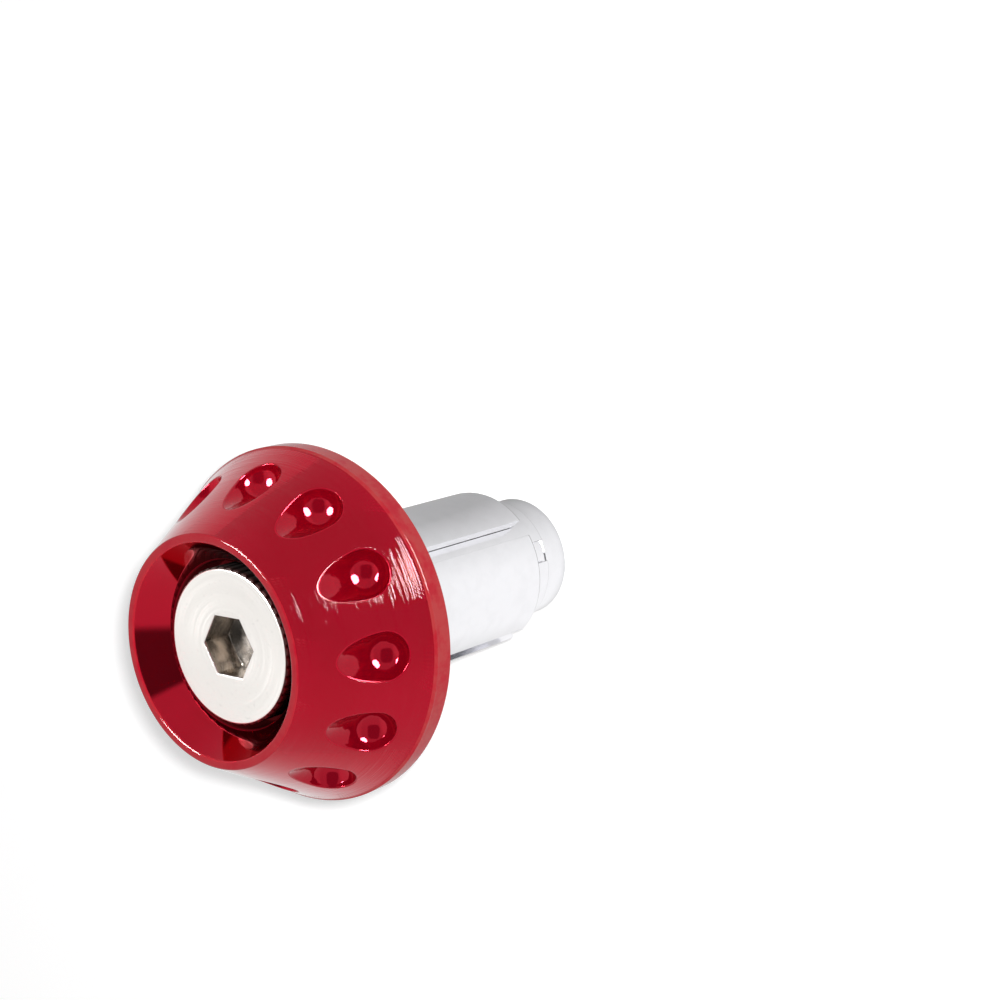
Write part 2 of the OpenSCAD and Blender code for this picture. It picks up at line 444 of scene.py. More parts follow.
def run_tree(piece, made, values):
    """Runs a node tree on the piece, keeps what it makes and closes the seams."""
    tree, ids = made
    modifier = piece.modifiers.new(tree.name, "NODES")
    modifier.node_group = tree
    for name, value in values.items():
        modifier[ids[name]] = value
    keep_as_mesh(piece)
    close_seams(piece)


def repeat_sector(piece, count, start, finish):
    """Repeats the piece's sector round the axis."""
    values = {"Count": count, "Start angle": start, "Merge distance": MERGE, "Finish": finish}
    run_tree(piece, sector_tree(), values)


def add_thread(piece, turns, radius, depth, low_z, pitch, finish):
    """Adds a thread ridge to the piece; a negative depth makes an inside thread."""
    run_tree(piece, thread_tree(), {
        "Turns": turns, "Radius": radius, "Height": turns * pitch, "Ridge depth": depth,
        "Ridge width": THREAD_W, "Start height": low_z, "Finish": finish,
    })


def soften_edges(piece, width, finish):
    """Breaks the sharp edges by a small bevel and lets the broad faces keep their shading."""
    if width > 0.0:
        bevel = piece.modifiers.new("Edge break", "BEVEL")
        bevel.width = width
        bevel.segments = 2
        bevel.limit_method = "ANGLE"
        bevel.angle_limit = math.radians(35)
    weigh = piece.modifiers.new("Broad faces first", "WEIGHTED_NORMAL")
    weigh.mode = "FACE_AREA"
    weigh.weight = 50
    keep_as_mesh(piece)
    piece.data.materials.clear()
    piece.data.materials.append(finish)


def settle(piece, node, finish, edge=0.0):
    """Gives the piece its edges and finish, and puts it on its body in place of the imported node."""
    soften_edges(piece, edge, finish)
    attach(piece, "root")
    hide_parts(node)


class Finish(Nodes):
    """A material under construction, with shorthands for its nodes."""

    def __init__(self, name):
        self.material = bpy.data.materials.new(name)
        self.material.use_nodes = True
        super().__init__(self.material.node_tree)
        self.shader = self.tree.nodes["Principled BSDF"]
        found = self.node("ShaderNodeTexCoord")
        self.where = found["Object"]
        self.faces = found["Normal"]
        self.x, self.y, self.height = self.node("ShaderNodeSeparateXYZ", {0: self.where})
        squares = self.sum("ADD", self.times(self.x, self.x), self.times(self.y, self.y))
        self.radius = self.sum("SQRT", squares)

    def set(self, **values):
        """Fills the shader's own inputs; underscores stand for spaces."""
        for name, value in values.items():
            self.fill(self.shader.inputs[name.replace("_", " ")], value)

    def noise(self, scale, detail=2.0, roughness=0.5, place=None):
        """One Noise Texture, on the piece's own coordinates unless a place is given."""
        inputs = {"Vector": place or self.where, "Scale": scale, "Detail": detail, "Roughness": roughness}
        return self.node("ShaderNodeTexNoise", inputs)["Fac"]

    def turned_noise(self, round_scale, across_scale, detail=2.0, roughness=0.5):
        """Noise drawn out round the axis, as the marks of turning are."""
        across = self.less(self.height, self.radius)
        scaled = ((self.x, round_scale), (self.y, round_scale), (across, across_scale))
        place = self.node("ShaderNodeCombineXYZ", enumerate(self.times(*pair) for pair in scaled))[0]
        return self.noise(1.0, detail, roughness, place)

    def blend(self, value, first, second):
        """Mixes two colours, or a socket and a colour, by a value."""
        inputs = {0: value}
        for number, colour in ((6, first), (7, second)):
            linked = isinstance(colour, bpy.types.NodeSocket)
            inputs[number] = colour if linked else (*colour, 1.0)
        return self.node("ShaderNodeMix", inputs, data_type="RGBA")[2]

    def bump(self, height, distance, strength=1.0, under=None):
        """One Bump node over another, if given."""
        inputs = {"Strength": strength, "Distance": distance, "Height": height}
        if under is not None:
            inputs["Normal"] = under
        return self.node("ShaderNodeBump", inputs)[0]

    def outwards(self):
        """How far the surface faces away from the axis: one on a turned side, none on a cut or an end."""
        flat = self.vector("MULTIPLY", self.where, (1.0, 1.0, 0.0))[0]
        unit = self.vector("NORMALIZE", flat)[0]
        return self.sum("ABSOLUTE", self.vector("DOT_PRODUCT", unit, self.faces)["Value"])

    def grain_round_axis(self):
        """Points the shader's grain round the axis of the part."""
        about = self.vector("CROSS_PRODUCT", (0.0, 0.0, 1.0), self.where)[0]
        self.set(Tangent=self.vector("NORMALIZE", about)[0])


def shade(colour, share):
    """A darker or a lighter kind of a colour."""
    return tuple(min(1.0, share * c) for c in colour)


def cone_foot(head):
    """Radius at the foot of the head's cone, and how much it narrows with height."""
    foot_r = head.band_r - head.rim_chamfer
    return foot_r, (foot_r - head.lip_r) / (head.lip_z - head.band_z)


def red_anodised(colours, head):
    """Dyed oxide over turned aluminium: a metal base under a thin clear film, with marks of turning."""
    made = Finish("dyed_red_oxide")
    made.set(Anisotropic=0.4, Coat_Roughness=0.05, Coat_IOR=1.26, Specular_IOR_Level=0.0)
    times, most, ramp = made.times, made.most, made.ramp
    height = made.height
    foot_r, slope = cone_foot(head)
    depth = made.less(made.line(height, -slope, foot_r + slope * head.band_z), made.radius)
    sunk = ramp(depth, 0.0, 0.006 * MM)
    shallow = ramp(depth, 0.02 * MM, 0.04 * MM, 1.0, 0.0)
    band = ramp(height, head.band_z - 0.02 * MM, head.band_z + 0.12 * MM, 1.0, 0.0)
    lip = ramp(height, head.lip_z - 1.2 * MM, head.lip_z - 0.9 * MM)
    outside = ramp(made.radius, head.recess_r - 0.15 * MM, head.recess_r - 0.05 * MM)
    matt = times(most(sunk, band), outside)
    edges = times(matt, most(most(band, lip), shallow))
    dimples = made.less(matt, edges)
    # Painted shade: deep marks the counterbore below the recess. It gets the dark red, more roughness and
    # less coat, standing in for the shade down there.
    recess = ramp(height, head.recess_z + 0.1 * MM, head.recess_z + 0.3 * MM)
    deep = made.less(1.0, most(outside, recess))
    grooves = made.turned_noise(40.0, 6800.0, 0.0)
    patches = ramp(made.turned_noise(240.0, 700.0), 0.38, 0.62, 0.45, 1.6)
    to_lip = ramp(height, head.band_z + 2.0 * MM, head.lip_z - 2.0 * MM, 1.0, 0.5)
    marks = times(grooves, times(times(made.less(1.0, sunk), patches), to_lip))
    cloud = ramp(made.noise(140.0, 3.0), 0.35, 0.7)
    smears = ramp(made.noise(420.0, 4.0, 0.6), 0.3, 0.6, 0.45, 1.0)
    worn = times(most(band, times(lip, times(matt, 0.6))), smears)
    red = made.blend(cloud, colours.red_dye, colours.red_deep)
    red = made.blend(worn, red, colours.red_worn)
    red = made.blend(times(made.less(matt, worn), 0.9), red, colours.red_matt)
    bare_metal = 0.96
    metal = made.line(dimples, -0.36, bare_metal)
    uneven = made.bump(times(made.noise(650.0), dimples), 0.04 * MM)
    made.set(
        Base_Color=made.blend(deep, red, colours.red_counterbore_shade),
        Metallic=made.line(most(edges, deep), -bare_metal, metal),
        Roughness=made.line(deep, 0.40, ramp(grooves, 0.3, 0.7, 0.035, 0.055)),
        Coat_Weight=made.line(deep, -0.7, 1.0),
        Normal=made.bump(marks, 0.001 * MM, 1.0, uneven),
        Coat_Normal=made.bump(marks, 0.026 * MM, 1.0, uneven),
    )
    made.grain_round_axis()
    return made.material


def nickel_steel(colours, screw):
    """Nickel plate over a faced steel head; painted shade darkens the stained socket and turns the knurled
    side near black.
    """
    made = Finish("nickel_plate")
    height = made.height
    ramp = made.ramp
    marks = made.turned_noise(120.0, 6000.0)
    low = ramp(height, screw.face_z - 0.3 * MM, screw.face_z - 0.2 * MM, 1.0, 0.0)
    socket_r = screw.socket_flat + 0.6 * MM
    socket = made.times(low, ramp(made.radius, socket_r, socket_r + 0.2 * MM, 1.0, 0.0))
    # Painted shade: side marks the knurled side below the face. It is made near black and rough, standing
    # in for the shade in the gap round the head.
    under = ramp(height, screw.face_z - 0.06 * MM, screw.face_z - 0.02 * MM, 1.0, 0.0)
    face_r = screw.head_r - 1.15 * MM
    side = made.times(under, ramp(made.radius, face_r, face_r + 0.2 * MM))
    pits = ramp(made.noise(2600.0), 0.6, 0.75)
    plate = made.blend(pits, colours.nickel, shade(colours.nickel, 0.93))
    # Painted shade with stains: inside the socket the plate is darkened, standing in for the shade in the
    # hollow, and a noise mottles it as stains.
    stains = ramp(made.noise(520.0, 3.0), 0.38, 0.62)
    socket_stains_and_shade = made.blend(stains, shade(colours.nickel_socket_shade, 0.45), shade(colours.nickel_socket_shade, 1.35))
    made.set(
        Metallic=1.0,
        Anisotropic=0.3,
        Base_Color=made.blend(side, made.blend(socket, plate, socket_stains_and_shade), colours.knurl_side_shade),
        Roughness=made.line(side, 0.4, ramp(marks, 0.3, 0.7, 0.16, 0.24)),
        Normal=made.bump(marks, 0.001 * MM, 0.3),
    )
    made.grain_round_axis()
    return made.material


def polished_aluminium(colours):
    """Bright turned aluminium with faint marks, and painted shade that darkens its small bevels and
    rounded edges; made once and shared.
    """
    name = "turned_aluminium"
    if name in bpy.data.materials:
        return bpy.data.materials[name]
    made = Finish(name)
    marks = made.turned_noise(40.0, 6000.0, 3.0, 0.6)
    cloud = made.ramp(made.noise(500.0, 3.0), 0.4, 0.7)
    metal = made.blend(cloud, colours.aluminium, shade(colours.aluminium, 0.97))
    # Painted shade: where a face turns partly away from the axis, as on the small bevels and rounded ends,
    # the colour is darkened to draw the dark lines that shade gives at edges and slots.
    facing = made.outwards()
    edge_shade = made.times(made.ramp(facing, 0.35, 0.6), made.ramp(facing, 0.94, 0.99, 1.0, 0.0))
    made.set(
        Metallic=1.0,
        Anisotropic=0.4,
        Base_Color=made.blend(edge_shade, metal, shade(colours.aluminium, 0.45)),
        Roughness=made.ramp(marks, 0.3, 0.7, 0.09, 0.16),
        Normal=made.bump(marks, 0.002 * MM, 0.3),
    )
    made.grain_round_axis()
    return made.material


def white_nylon(colours):
    """Natural nylon: soft white, faintly clouded, with a low sheen."""
    made = Finish("white_nylon")
    grain = made.turned_noise(200.0, 3000.0)
    cloud = made.ramp(made.noise(300.0), 0.35, 0.7)
    made.set(
        Subsurface_Weight=0.15,
        Subsurface_Scale=0.001,
        Base_Color=made.blend(cloud, colours.nylon, shade(colours.nylon, 0.95)),
        Roughness=made.ramp(grain, 0.3, 0.7, 0.38, 0.5),
        Normal=made.bump(grain, 0.005 * MM, 0.3),
    )
    return made.material


class ConeDimple:
    """One ball-nosed cut in the cone, seen from above the middle of the cut."""

    def __init__(self, head, dimple):
        self.foot_r, self.slope = cone_foot(head)
        self.foot_z = head.band_z
        self.cutter_r = dimple.radius
        self.ball_z = dimple.ball_z
        self.middle_r = self.cone_r(self.ball_z)
        self.offset = dimple.axis_r - self.middle_r
        self.tilt = math.sqrt(1.0 + self.slope**2)
        self.centre_v = 0.0006
        self.past_edge = 0.0062

    def cone_r(self, z):
        """Radius of the cone at a height."""
        return self.foot_r - self.slope * (z - self.foot_z)

    def place(self, u, v, h):
        """Point at (u across, v up the cone, h out of it)."""
        out = self.middle_r - self.slope / self.tilt * v + h / self.tilt
        up = self.ball_z + v / self.tilt + self.slope / self.tilt * h
        return np.stack([out, u + 0.0 * out, up], axis=-1)

    def cone_h(self, u, v):
        """Height of the cone over the plane that touches it in the middle of the cut."""
        a = 1.0 - self.slope**2
        b = 2.0 * self.tilt * (self.middle_r - self.slope / self.tilt * v)
        return (-b + np.sqrt(b * b - 4.0 * a * u * u)) / (2.0 * a)

    def cutter_h(self, u, v):
        """Height of the cutter's lower surface: ball below, straight side above."""
        ball_v = -self.slope / self.tilt * self.offset
        ball_h = self.offset / self.tilt
        inside = self.cutter_r**2 - u * u
        ball = ball_h - np.sqrt(np.maximum(inside - (v - ball_v) ** 2, 0.0))
        side = self.tilt * (self.offset + self.slope / self.tilt * v - np.sqrt(np.maximum(inside, 0.0)))
        below = v / self.tilt + self.slope / self.tilt * ball < 0.0
        return np.where(below, ball, side)

    def edge_reach(self, angles):
        """Distance from the centre of the cut to its edge, in each direction."""
        near = np.zeros_like(angles)
        far = np.full_like(angles, self.past_edge)
        for _ in range(50):
            mid = (near + far) / 2.0
            u = mid * np.sin(angles)
            v = self.centre_v + mid * np.cos(angles)
            cut = self.cutter_h(u, v) < self.cone_h(u, v)
            near = np.where(cut, mid, near)
            far = np.where(cut, far, mid)
        return (near + far) / 2.0


def walk(path, start, shares):
    """Points on a path of close points, at shares of the way from a start distance to its end."""
    steps = np.linalg.norm(np.diff(path, axis=0), axis=1)
    along = np.concatenate([[0.0], np.cumsum(steps)])
    distances = start + (along[-1] - start) * shares
    return np.stack([np.interp(distances, along, path[:, k]) for k in range(3)], axis=1)


def dimple_patch(shell, head, dimple, columns, top_z):
    """The cone between two sector borders with its dimple; gives the lower and upper border rows."""
    cut = ConeDimple(head, dimple)
    half = math.pi / dimple.count
    across = np.linspace(-half, half, columns + 1)
    rise = int(columns * 1.4)
    inner_rings, outer_rings = 24, 10
    fine = 400
    crowding = 1.2
    up = np.linspace(head.band_z, top_z, rise + 1)
    border = [(a, head.band_z) for a in across[:-1]]
    border += [(half, z) for z in up[:-1]]
    border += [(a, top_z) for a in across[::-1][:-1]]
    border += [(-half, z) for z in up[::-1][:-1]]
    border = np.array(border)
    radius = cut.cone_r(border[:, 1])
    x = radius * np.cos(border[:, 0])
    u_border = radius * np.sin(border[:, 0])
    v_border = (border[:, 1] - cut.ball_z) / cut.tilt - (x - cut.middle_r) * cut.slope / cut.tilt
    angles = np.arctan2(u_border, v_border - cut.centre_v)
    reach = cut.edge_reach(angles)
    rows = []
    for i, angle in enumerate(angles):
        t = np.linspace(1.0, 0.0, fine) * reach[i]
        u = t * math.sin(angle)
        v = cut.centre_v + t * math.cos(angle)
        wall = cut.place(u, v, np.minimum(cut.cutter_h(u, v), cut.cone_h(u, v)))
        edge = cut.place(u[0], v[0], cut.cone_h(u[0], v[0]))
        wall[0] = edge
        inside = walk(wall, dimple.edge, np.linspace(0.0, 1.0, inner_rings + 1))
        edge_a = math.atan2(edge[1], edge[0])
        span = np.linspace(0.0, 1.0, fine)
        a = edge_a + (border[i, 0] - edge_a) * span
        z = edge[2] + (border[i, 1] - edge[2]) * span
        r = cut.cone_r(z)
        field = np.stack([r * np.cos(a), r * np.sin(a), z], axis=1)
        outside = walk(field, dimple.edge, np.linspace(0.0, 1.0, outer_rings + 1) ** crowding)
        turn = [bend(outside[0], edge, inside[0], s) for s in (0.25, 0.5, 0.75)]
        rows.append(list(outside[::-1]) + turn + list(inside[:-1]))
    spokes = np.array(rows)
    rings = [shell.row(spokes[:, k]) for k in range(spokes.shape[1])]
    shell.strips(rings, closed=True)
    middle = shell.row([cut.place(0.0, cut.centre_v, cut.cutter_h(0.0, cut.centre_v))])[0]
    shell.fan(rings[-1], middle)
    outline = rings[0]
    bottom = outline[: columns + 1]
    top = outline[columns + rise: 2 * columns + rise + 1][::-1]
    return bottom, top


class BAREND_OT_weight_head(bpy.types.Operator):
    """Make the weight head: a turned section with a dimple in each sector"""

    bl_idname = "barend.weight_head"
    bl_label = "Weight head"

    def execute(self, context):
        head = context.scene.barend_head
        dimple = context.scene.barend_dimple
        columns = 20
        half = math.pi / dimple.count
        angles = np.linspace(-half, half, columns + 1)
        shell = Shell()
        _, slope = cone_foot(head)
        top_z = head.lip_z - head.lip_chamfer - 2.0 * head.edge_round
        bottom, top = dimple_patch(shell, head, dimple, columns, top_z)
        recess = (head.recess_r - head.counterbore_r) / (head.lip_z - head.recess_z)
        chamfer = head.lip_chamfer
        rim = head.rim_chamfer
        corners = [
            (head.lip_r + slope * chamfer, head.lip_z - chamfer),
            (head.lip_r - chamfer, head.lip_z),
            (head.recess_r + chamfer, head.lip_z),
            (head.recess_r - recess * chamfer, head.lip_z - chamfer),
            (head.counterbore_r, head.recess_z),
            (head.counterbore_r, head.seat_z),
            (head.bore_r, head.seat_z),
            (head.bore_r, head.spigot_z),
            (head.spigot_r - head.spigot_chamfer, head.spigot_z),
            (head.spigot_r, head.spigot_z + head.spigot_chamfer),
            (head.spigot_r, head.back_z),
            (head.band_r - rim, head.back_z),
            (head.band_r, head.back_z + rim),
            (head.band_r, head.band_z - rim),
        ]
        foot = (head.band_r - rim, head.band_z)
        start = (head.lip_r + slope * (head.lip_z - top_z), top_z)
        loop = cut_profile([start, *corners, foot], head.edge_round)
        on_cone = 4
        inside = loop[on_cone:-on_cone]
        rows = [shell.turned_row(r, z, angles) for r, z in inside]
        shell.strips([top, *rows, bottom])
        piece = shell.piece("weight_head_dressed")
        finish = red_anodised(context.scene.barend_colours, head)
        repeat_sector(piece, dimple.count, 0.0, finish)
        settle(piece, "weight_head", finish)
        return {"FINISHED"}


def full_turn(count=240):
    """Angles of a whole turn, first and last the same."""
    return np.linspace(0.0, 2.0 * math.pi, count + 1)


class BAREND_OT_washer(bpy.types.Operator):
    """Make the nylon washer"""

    bl_idname = "barend.washer"
    bl_label = "Nylon washer"

    def execute(self, context):
        ring = context.scene.barend_washer
        soft = ring.rounding
        arc = [
            (ring.outer_r - soft + soft * math.sin(a), ring.low_z + soft - soft * math.cos(a))
            for a in np.linspace(0.0, math.pi / 2, 9)
        ]
        corners = [(ring.bore_r, ring.high_z), (ring.bore_r, ring.low_z)]
        rounded = cut_profile([*corners, arc[0], arc[-1], (ring.outer_r, ring.high_z)], 0.08 * MM)
        profile = rounded[:8] + arc + rounded[16:]
        shell = Shell()
        shell.turned(profile, full_turn())
        piece = shell.piece("nylon_washer_dressed")
        close_seams(piece)
        settle(piece, "nylon_washer", white_nylon(context.scene.barend_colours))
        return {"FINISHED"}


class BAREND_OT_socket_screw(bpy.types.Operator):
    """Make the socket screw: knurled head, hexagon socket and threaded shank"""

    bl_idname = "barend.socket_screw"
    bl_label = "Socket screw"

    def execute(self, context):
        screw = context.scene.barend_screw
        sides = 6
        per_side = screw.knurls // sides
        pitch_a = 2.0 * math.pi / screw.knurls
        groove = math.asin(0.85 * screw.knurl_r / screw.knurl_axis_r)
        local = np.array([0.0, 0.35, 0.7, 1.0, 1.25]) * groove
        local = np.concatenate([-local[:0:-1], local])
        rest = np.linspace(local[-1], pitch_a - local[-1], 5)[1:-1]
        one = np.concatenate([local, rest])
        angles = np.concatenate([one + k * pitch_a for k in range(per_side)])
        angles = np.append(angles, angles[0] + per_side * pitch_a)
        centre = np.round(angles / pitch_a) * pitch_a
        sideways = screw.knurl_axis_r * np.sin(angles - centre)
        inside = np.maximum(screw.knurl_r**2 - sideways**2, 0.0)
        floor = screw.knurl_axis_r * np.cos(angles - centre) - np.sqrt(inside)
        floor = np.where(inside > 0.0, floor, 1.0)
        flat = np.cos((angles % (math.pi / 3)) - math.pi / 6)
        forms = {
            "round": lambda r: np.full_like(angles, r),
            "hexagon": lambda r: r / flat,
            "knurled": lambda r: np.minimum(r, floor),
        }
        face = screw.face_z
        seat = screw.seat_z
        cut = screw.chamfer
        af = screw.socket_flat
        lead = 0.12 * MM
        edge = screw.head_r - cut
        profile = [
            ("round", [(0.5 * af, screw.drill_z), (0.98 * af, screw.drill_z + 0.5 * af * 0.5)]),
            ("round", [(0.999 * af, screw.socket_z)]),
            ("hexagon", [(af, screw.socket_z), (af, screw.socket_z + 0.1 * MM), (af, face - 1.5 * MM)]),
            ("hexagon", [(af, face - 2.0 * lead), (af, face - lead)]),
            ("hexagon", [(af + 0.35 * lead, face - 0.3 * lead)]),
            ("hexagon", [(af + lead, face), (af + 3.0 * lead, face)]),
            ("round", [(r, face) for r in (4.6 * MM, 6.0 * MM, 7.2 * MM)]),
            ("round", [(edge - 0.12 * MM, face), (edge - 0.04 * MM, face)]),
            ("round", [(edge + 0.03 * MM, face - 0.03 * MM)]),
            ("knurled", [(edge + s * cut, face - s * cut) for s in (0.3, 0.5, 0.7, 0.9)]),
            ("knurled", [(screw.head_r, face - 1.15 * cut), (screw.head_r, face - 0.6 * MM)]),
            ("knurled", [(screw.head_r, seat + 1.5 * MM), (screw.head_r, seat + 1.05 * cut)]),
            ("round", [(screw.head_r, seat + cut), (screw.head_r, seat + 0.06 * MM)]),
            ("round", [(screw.head_r - 0.06 * MM, seat), (screw.shank_r + 0.1 * MM, seat)]),
            ("round", [(screw.shank_r, seat - 0.1 * MM), (screw.shank_r, screw.thread_top_z + 1.0 * MM)]),
            ("round", [(screw.core_r, screw.thread_top_z), (screw.core_r, screw.tip_z + 0.35 * MM)]),
            ("round", [(screw.core_r - 0.3 * MM, screw.tip_z)]),
        ]
        shell = Shell()
        rows = []
        for form, points in profile:
            for r, z in points:
                radii = zip(forms[form](r), angles)
                rows.append(shell.row([(p * math.cos(a), p * math.sin(a), z) for p, a in radii]))
        shell.strips(rows)
        for ring, z in ((rows[0], screw.drill_z), (rows[-1], screw.tip_z)):
            shell.fan(ring, shell.row([(0.0, 0.0, z)])[0], closed=False)
        piece = shell.piece("socket_screw_dressed")
        finish = nickel_steel(context.scene.barend_colours, screw)
        repeat_sector(piece, sides, 0.0, finish)
        turns = (screw.thread_top_z - screw.tip_z - 1.2 * MM) / screw.pitch
        ridge = screw.shank_r - screw.core_r + THREAD_SINK
        middle = (screw.shank_r + screw.core_r - THREAD_SINK) / 2
        add_thread(piece, turns, middle, ridge, screw.tip_z + 0.6 * MM, screw.pitch, finish)
        settle(piece, "socket_screw", finish)
        return {"FINISHED"}


def mouth_half_width(slot_w, corner, above):
    """Half the width of a slot at a height above the open end, with its rounded mouth."""
    centre = 0.8 * corner
    if above >= centre:
        return slot_w / 2
    return slot_w / 2 + corner - math.sqrt(corner**2 - (centre - above) ** 2)


def split_sleeve(node, walls, closed_end, sizes, finish):
    """A sleeve of four petals. Walls are rows (outer r, inner r, z) from the slot's end to the mouth."""
    slot_w = sizes.slot_w
    shell = Shell()
    low_z = walls[-1][2]
    quarter = math.pi / 2
    petal = np.linspace(0.0, 1.0, 31)
    ease = petal - 0.06 * np.sin(2 * math.pi * petal)
    outer_rows = []
    inner_rows = []
    for outer_r, inner_r, z in walls:
        half = mouth_half_width(slot_w, 0.5 * MM, z - low_z)
        for rows, r in ((outer_rows, outer_r), (inner_rows, inner_r)):
            side = math.asin(half / r)
            rows.append(shell.turned_row(r, z, side + (quarter - 2 * side) * ease))
    shell.strips(outer_rows)
    shell.strips(inner_rows)
    shell.strip(outer_rows[-1], inner_rows[-1])
    for side in (0, -1):
        edges = [(outer[side], inner[side]) for outer, inner in zip(outer_rows, inner_rows)]
        for (a, b), (d, c) in zip(edges, edges[1:]):
            shell.faces.append((a, b, c, d))
    head_rows = []
    for k, (r, z) in enumerate(closed_end):
        wall = 0 if k < len(closed_end) // 2 else 1
        side = math.asin(slot_w / 2 / walls[0][wall])
        low = np.linspace(0.0, side, 4)[:-1]
        high = np.linspace(quarter - side, quarter, 4)[1:]
        angles = np.concatenate([low, side + (quarter - 2 * side) * ease, high])
        head_rows.append(shell.turned_row(r, z, angles))
    shell.strips(head_rows)
    for part in (slice(0, 4), slice(-4, None)):
        shell.strip(head_rows[0][part], head_rows[-1][part])
    piece = shell.piece(node + "_dressed")
    repeat_sector(piece, 4, sizes.slot_a, finish)
    settle(piece, node, finish, 0.07 * MM)


class BAREND_OT_expanders(bpy.types.Operator):
    """Make the outer and the inner expander, split into petals"""

    bl_idname = "barend.expanders"
    bl_label = "Expanders"

    def execute(self, context):
        finish = polished_aluminium(context.scene.barend_colours)
        outer = context.scene.barend_outer
        soft = outer.rounding
        walls = [(outer.outer_r, outer.inner_r, z) for z in (outer.slot_z, 20.0 * MM, 12.0 * MM)]
        for a in np.linspace(0.0, math.pi / 2, 9):
            r = outer.outer_r - soft + soft * math.cos(a)
            walls.append((r, outer.inner_r, outer.low_z + soft - soft * math.sin(a)))
        closed_end = [
            (outer.outer_r, outer.slot_z), (outer.outer_r, outer.high_z),
            (outer.inner_r, outer.high_z), (outer.inner_r, outer.slot_z),
        ]
        split_sleeve("outer_expander", walls, closed_end, outer, finish)
        inner = context.scene.barend_inner
        walls = [(inner.outer_r, inner.inner_r, z) for z in (inner.slot_z, 15.0 * MM, inner.taper_z)]
        rate = (inner.mouth_r - inner.inner_r) / (inner.taper_z - inner.low_z)
        for above in (2.0 * MM, 0.6 * MM, 0.45 * MM, inner.chamfer):
            walls.append((inner.outer_r, inner.mouth_r - rate * above, inner.low_z + above))
        half = inner.chamfer / 2
        walls.append((inner.outer_r - half, inner.mouth_r - rate * half, inner.low_z + half))
        walls.append((inner.outer_r - inner.chamfer, inner.mouth_r, inner.low_z))
        closed_end = [
            (inner.outer_r, inner.slot_z), (inner.outer_r, inner.wall_z), (inner.outer_r, inner.high_z),
            (inner.bore_r, inner.high_z), (inner.bore_r, inner.wall_z), (inner.inner_r, inner.wall_z),
            (inner.inner_r, inner.slot_z),
        ]
        split_sleeve("inner_expander", walls, closed_end, inner, finish)
        return {"FINISHED"}


class BAREND_OT_wedge_nut(bpy.types.Operator):
    """Make the wedge nut with its inside thread"""

    bl_idname = "barend.wedge_nut"
    bl_label = "Wedge nut"

    def execute(self, context):
        nut = context.scene.barend_nut
        screw = context.scene.barend_screw
        corners = [
            (nut.hole_r + nut.countersink, 0.0),
            (nut.outer_r - nut.bevel, 0.0),
            (nut.outer_r, nut.bevel),
            (nut.outer_r, nut.shoulder_z),
            (nut.wedge_r, nut.shoulder_z),
            (nut.wedge_end_r, nut.wedge_z),
            (nut.hole_r, nut.wedge_z),
            (nut.hole_r, nut.countersink),
        ]
        shell = Shell()
        shell.turned(cut_profile(corners, 0.06 * MM), full_turn(192))
        piece = shell.piece("wedge_nut_dressed")
        close_seams(piece)
        finish = polished_aluminium(context.scene.barend_colours)
        start = 0.75 * MM
        depth = nut.hole_r - nut.crest_r + THREAD_SINK
        middle = (nut.hole_r + nut.crest_r + THREAD_SINK) / 2
        turns = (nut.wedge_z - start - 0.8 * MM) / screw.pitch
        add_thread(piece, turns, middle, -depth, start, screw.pitch, finish)
        settle(piece, "wedge_nut", finish)
        return {"FINISHED"}


def soft_lamp(name, place, aim, size, level):
    """A square lamp, unseen by the camera; level is its share of a plain light at the aim."""
    reach = Vector(aim) - Vector(place)
    data = bpy.data.lights.new(name, "AREA")
    data.shape = "SQUARE"
    data.size = size
    data.energy = level * math.pi**2 * reach.length_squared
    lamp = bpy.data.objects.new(name, data)
    lamp.location = place
    lamp.rotation_mode = "QUATERNION"
    lamp.rotation_quaternion = reach.to_track_quat("-Z", "Y")
    lamp.visible_camera = False
    bpy.context.scene.collection.objects.link(lamp)
    return lamp


def feed_lamp(lamp, kind, output, **inputs):
    """Adds a node to the lamp and gives the lamp's nodes and one output of the new node."""
    lamp.data.use_nodes = True
    build = Nodes(lamp.data.node_tree)
    return build, build.node(kind, inputs)[output]


def even_out(lamp, reach):
    """Keeps the lamp's light the same at every distance; its level is set at the given reach."""
    build, even = feed_lamp(lamp, "ShaderNodeLightFalloff", "Constant", Strength=1.0 / reach**2)
    build.fill(build.tree.nodes["Emission"].inputs["Strength"], even)


def gloss_lamp(name, way, distance, width, radiance):
    """A lamp that shows only as a highlight, in that direction from the head and of that angular width."""
    heart = Vector((0.0, 0.0, 0.045))
    size = 2.0 * distance * math.tan(width / 2.0)
    level = radiance * size**2 / (math.pi * distance**2)
    lamp = soft_lamp(name, heart + distance * Vector(way).normalized(), heart, size, level)
    lamp.data.shape = "DISK"
    lamp.visible_diffuse = False
    build, bounces = feed_lamp(lamp, "ShaderNodeLightPath", "Ray Depth")
    once = build.sum("LESS_THAN", bounces, FIRST_MIRROR)
    build.fill(build.tree.nodes["Emission"].inputs["Strength"], once)


